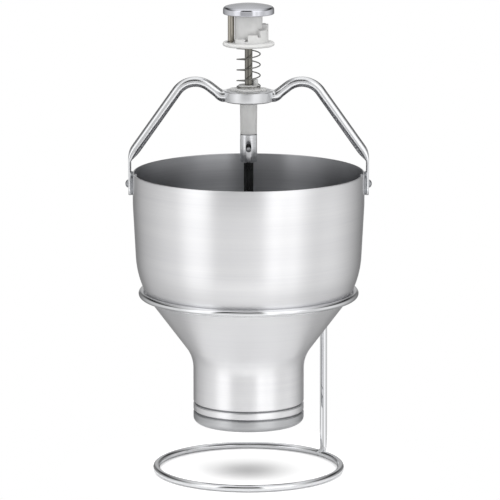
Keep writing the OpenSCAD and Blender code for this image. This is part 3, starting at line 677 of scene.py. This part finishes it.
# Fitted to the rim's and the rings' ellipses: distance and the height it looks at in metres,
# pitch in degrees, focal length in pixels of a 500 pixel frame, shift as a share of it
CAM_D, CAM_PITCH, CAM_Z = 3.657, 10.71, 0.19871
FOCAL_PX, FRAME_PX, SENSOR_MM, CAM_SHIFT = 4159, 500, 36, 0.0028
camera_data = bpy.data.cameras.new("camera")
camera_data.sensor_width = SENSOR_MM
camera_data.lens = FOCAL_PX / FRAME_PX * SENSOR_MM
camera_data.shift_x = CAM_SHIFT
camera_data.clip_start, camera_data.clip_end = 0.1, 50
camera = bpy.data.objects.new("camera", camera_data)
bpy.context.scene.collection.objects.link(camera)
camera.location = (0, -CAM_D * cos(CAM_PITCH), CAM_Z + CAM_D * sin(CAM_PITCH))
camera.rotation_euler = (math.radians(90 - CAM_PITCH), 0, 0)
bpy.context.scene.camera = camera

# ---------------------------------------------------------------- floor

# The floor, in metres: its radius and height; where from its middle the paper fades out, and
# how its glow grows out of the painted shadow under the object
FLOOR_R, FLOOR_Z = 0.9, -0.0002
FADE_FROM, FADE_TO = 0.1, 0.17
PAINTED_SHADOW_R, PAINTED_SHADOW_GLOW, GLOW = 0.05, 0.16, 0.5
bm = bmesh.new()
bmesh.ops.create_circle(bm, cap_ends=True, segments=96, radius=FLOOR_R)
floor_mesh = bpy.data.meshes.new("floor")
bm.to_mesh(floor_mesh)
bm.free()
floor = bpy.data.objects.new("floor", floor_mesh)
bpy.context.scene.collection.objects.link(floor)
floor.location.z = FLOOR_Z
# Pale paper, glowing towards the lens like a light table, less so under the object, which paints
# a soft shadow there; it fades into the backdrop so that no edge of it shows
paper = bpy.data.materials.new("pale_paper_painted_shadow")
paper.use_nodes = True
tree = paper.node_tree
tree.nodes.clear()
place = node(tree, "ShaderNodeTexCoord").outputs["Object"]
reach = node(tree, "ShaderNodeVectorMath", [(0, place)], operation="LENGTH").outputs["Value"]
fade = node(
    tree, "ShaderNodeMapRange",
    [("Value", reach), ("From Min", FADE_FROM), ("From Max", FADE_TO)],
    interpolation_type="SMOOTHSTEP",
).outputs[0]
diffuse = node(tree, "ShaderNodeBsdfDiffuse", [("Color", linear("EAEAEA"))])
to_lens = node(tree, "ShaderNodeLightPath").outputs["Is Camera Ray"]
# Painted shadow: the glow is weakest under the middle of the object
painted_shadow_glow_at = node(
    tree, "ShaderNodeMapRange",
    [("Value", reach), ("From Max", PAINTED_SHADOW_R), ("To Min", PAINTED_SHADOW_GLOW), ("To Max", GLOW)],
    interpolation_type="SMOOTHSTEP",
).outputs[0]
glow_by = node(
    tree, "ShaderNodeMath", [(0, to_lens), (1, painted_shadow_glow_at)], operation="MULTIPLY"
).outputs[0]
glow = node(tree, "ShaderNodeEmission", [("Color", (1, 1, 1, 1)), ("Strength", glow_by)])
lit = node(tree, "ShaderNodeAddShader", [(0, diffuse.outputs[0]), (1, glow.outputs[0])])
clear = node(tree, "ShaderNodeBsdfTransparent")
sweep = node(
    tree, "ShaderNodeMixShader", [(0, fade), (1, lit.outputs[0]), (2, clear.outputs[0])]
)
node(tree, "ShaderNodeOutputMaterial", [("Surface", sweep.outputs[0])])
floor_mesh.materials.append(paper)

# ---------------------------------------------------------------- studio

# Brightness round the object, in degrees from the front towards +X: soft boxes with gaps
# between them, which give the satin bowl its upright light and dark bands
BOXES = [
    (-180, 0.5), (-170, 0.4), (-163, 0.17), (-150, 0.25), (-134, 0.45), (-108, 0.65), (-90, 0.8),
    (-76, 0.8), (-64, 1.15), (-54, 1.2), (-44, 1.1), (-38, 1.15), (-10, 1.3), (16, 1.35),
    (28, 1.25), (36, 1.0), (47, 1.2), (58, 0.85), (72, 0.72), (84, 0.85), (96, 0.85),
    (112, 0.68), (130, 0.45), (148, 0.25), (163, 0.17), (170, 0.4), (180, 0.5),
]
# Brightness by angle up from the front, over the top and down behind
CEILING = [
    (-180, 0.35), (-120, 0.35), (-60, 0.7), (-30, 0.9), (0, 1.2), (46, 1.3), (60, 1.0),
    (74, 0.95), (105, 1.0), (135, 0.85), (150, 0.65), (170, 0.5), (180, 0.5),
]
# How much of the ceiling's brightness shows, by the height of the direction (-1 to 1)
CEILING_SHARE = [(-1.0, 1.0), (-0.65, 1.0), (-0.4, 0.0), (0.15, 0.0), (0.42, 1.0), (1.0, 1.0)]
# Above the boxes the room is darker at both sides and behind them, in degrees from the front
SIDES = [
    (-180, 1.0), (-170, 0.9), (-156, 0.05), (-100, 0.05), (-84, 0.4), (-66, 0.8), (-58, 1.1),
    (58, 1.1), (66, 0.8), (84, 0.4), (100, 0.05), (156, 0.05), (170, 0.9), (180, 1.0),
]
# Where that side darkness is left out, by height: below the horizon and straight up
EVEN = [(-1.0, 1.0), (-0.05, 1.0), (0.05, 0.0), (0.5, 0.0), (0.9, 1.0), (1.0, 1.0)]
# A dark card in front of the object, where a camera and its stand would be: by height, and
# by degrees from the front
CARD_UP = [
    (-1.0, 0.0), (-0.31, 0.0), (-0.28, 0.58), (-0.07, 0.58), (0.0, 0.5), (0.36, 0.5),
    (0.42, 0.99), (0.84, 0.99), (0.88, 0.0),
]
CARD_ACROSS = [(-180, 0.0), (-41, 0.0), (-36, 1.0), (14, 1.0), (22, 0.0), (180, 0.0)]
CARD_LEVEL = 0.01
# The boxes light matt surfaces a little more than they show in a mirror
FILL = 1.5


def by_turn(stops):
    """Stops at -180 to 180 degrees, as places from 0 to 1."""
    return [((a + 180) / 360, v) for a, v in stops]


def by_height(stops):
    """Stops at heights from -1 to 1, as places from 0 to 1."""
    return [((z + 1) / 2, v) for z, v in stops]


world = bpy.data.worlds.new("studio")
world.use_nodes = True
bpy.context.scene.world = world
tree = world.node_tree
tree.nodes.clear()
toward = node(tree, "ShaderNodeTexCoord").outputs["Generated"]
parts = node(tree, "ShaderNodeSeparateXYZ", [(0, toward)])
back = node(
    tree, "ShaderNodeMath", [(0, parts.outputs["Y"]), (1, -1.0)], operation="MULTIPLY"
).outputs[0]
around = node(
    tree, "ShaderNodeMath", [(0, parts.outputs["X"]), (1, back)], operation="ARCTAN2"
).outputs[0]
around = node(
    tree, "ShaderNodeMapRange",
    [("Value", around), ("From Min", -math.pi), ("From Max", math.pi)],
).outputs[0]
over = node(
    tree, "ShaderNodeMath", [(0, parts.outputs["Z"]), (1, back)], operation="ARCTAN2"
).outputs[0]
over = node(
    tree, "ShaderNodeMapRange",
    [("Value", over), ("From Min", -math.pi), ("From Max", math.pi)],
).outputs[0]
height = node(
    tree, "ShaderNodeMapRange",
    [("Value", parts.outputs["Z"]), ("From Min", -1.0), ("From Max", 1.0)],
).outputs[0]
boxes = node(tree, "ShaderNodeValToRGB", [("Fac", around)], by_turn(BOXES)).outputs[0]
ceiling = node(tree, "ShaderNodeValToRGB", [("Fac", over)], by_turn(CEILING)).outputs[0]
share = node(tree, "ShaderNodeValToRGB", [("Fac", height)], by_height(CEILING_SHARE)).outputs[0]
sides = node(tree, "ShaderNodeValToRGB", [("Fac", around)], by_turn(SIDES)).outputs[0]
even = node(tree, "ShaderNodeValToRGB", [("Fac", height)], by_height(EVEN)).outputs[0]
card_up = node(tree, "ShaderNodeValToRGB", [("Fac", height)], by_height(CARD_UP)).outputs[0]
card_across = node(tree, "ShaderNodeValToRGB", [("Fac", around)], by_turn(CARD_ACROSS)).outputs[0]
card = node(
    tree, "ShaderNodeMath", [(0, card_up), (1, card_across)], operation="MULTIPLY"
).outputs[0]
sides = node(
    tree, "ShaderNodeMix", [("Factor", even), (6, sides), (7, (1.0, 1.0, 1.0, 1.0))],
    data_type="RGBA",
).outputs[2]
ceiling = node(
    tree, "ShaderNodeMix", [("Factor", 1.0), (6, ceiling), (7, sides)],
    data_type="RGBA", blend_type="MULTIPLY",
).outputs[2]
room = node(
    tree, "ShaderNodeMix", [("Factor", share), (6, boxes), (7, ceiling)], data_type="RGBA"
).outputs[2]
room = node(
    tree, "ShaderNodeMix", [("Factor", card), (6, room), (7, (*[CARD_LEVEL] * 3, 1.0))],
    data_type="RGBA",
).outputs[2]
rays = node(tree, "ShaderNodeLightPath")
fill = node(
    tree, "ShaderNodeMapRange",
    [("Value", rays.outputs["Is Diffuse Ray"]), ("To Min", 1.0), ("To Max", FILL)],
).outputs[0]
lights = node(tree, "ShaderNodeBackground", [("Color", room), ("Strength", fill)])
backdrop = node(tree, "ShaderNodeBackground", [("Color", (1, 1, 1, 1)), ("Strength", 1.0)])
seen = node(
    tree, "ShaderNodeMixShader",
    [(0, rays.outputs["Is Camera Ray"]), (1, lights.outputs[0]), (2, backdrop.outputs[0])],
)
node(tree, "ShaderNodeOutputWorld", [("Surface", seen.outputs[0])])

# One wide soft light overhead, in metres and watts, a little in front and to the left
LAMP_D, LAMP_W, LAMP_AT, LAMP_AIM = 1.5, 24, (-0.04, -0.15, 2.0), (0, 0, 0.2)
lamp_data = bpy.data.lights.new("overhead_soft", "AREA")
lamp_data.shape = "DISK"
lamp_data.size = LAMP_D
lamp_data.energy = LAMP_W
lamp = bpy.data.objects.new("overhead_soft", lamp_data)
bpy.context.scene.collection.objects.link(lamp)
lamp.visible_glossy = False
lamp.location = LAMP_AT
lamp.rotation_euler = (Vector(LAMP_AIM) - lamp.location).to_track_quat("-Z", "Y").to_euler()

bpy.context.scene.view_settings.view_transform = "Standard"
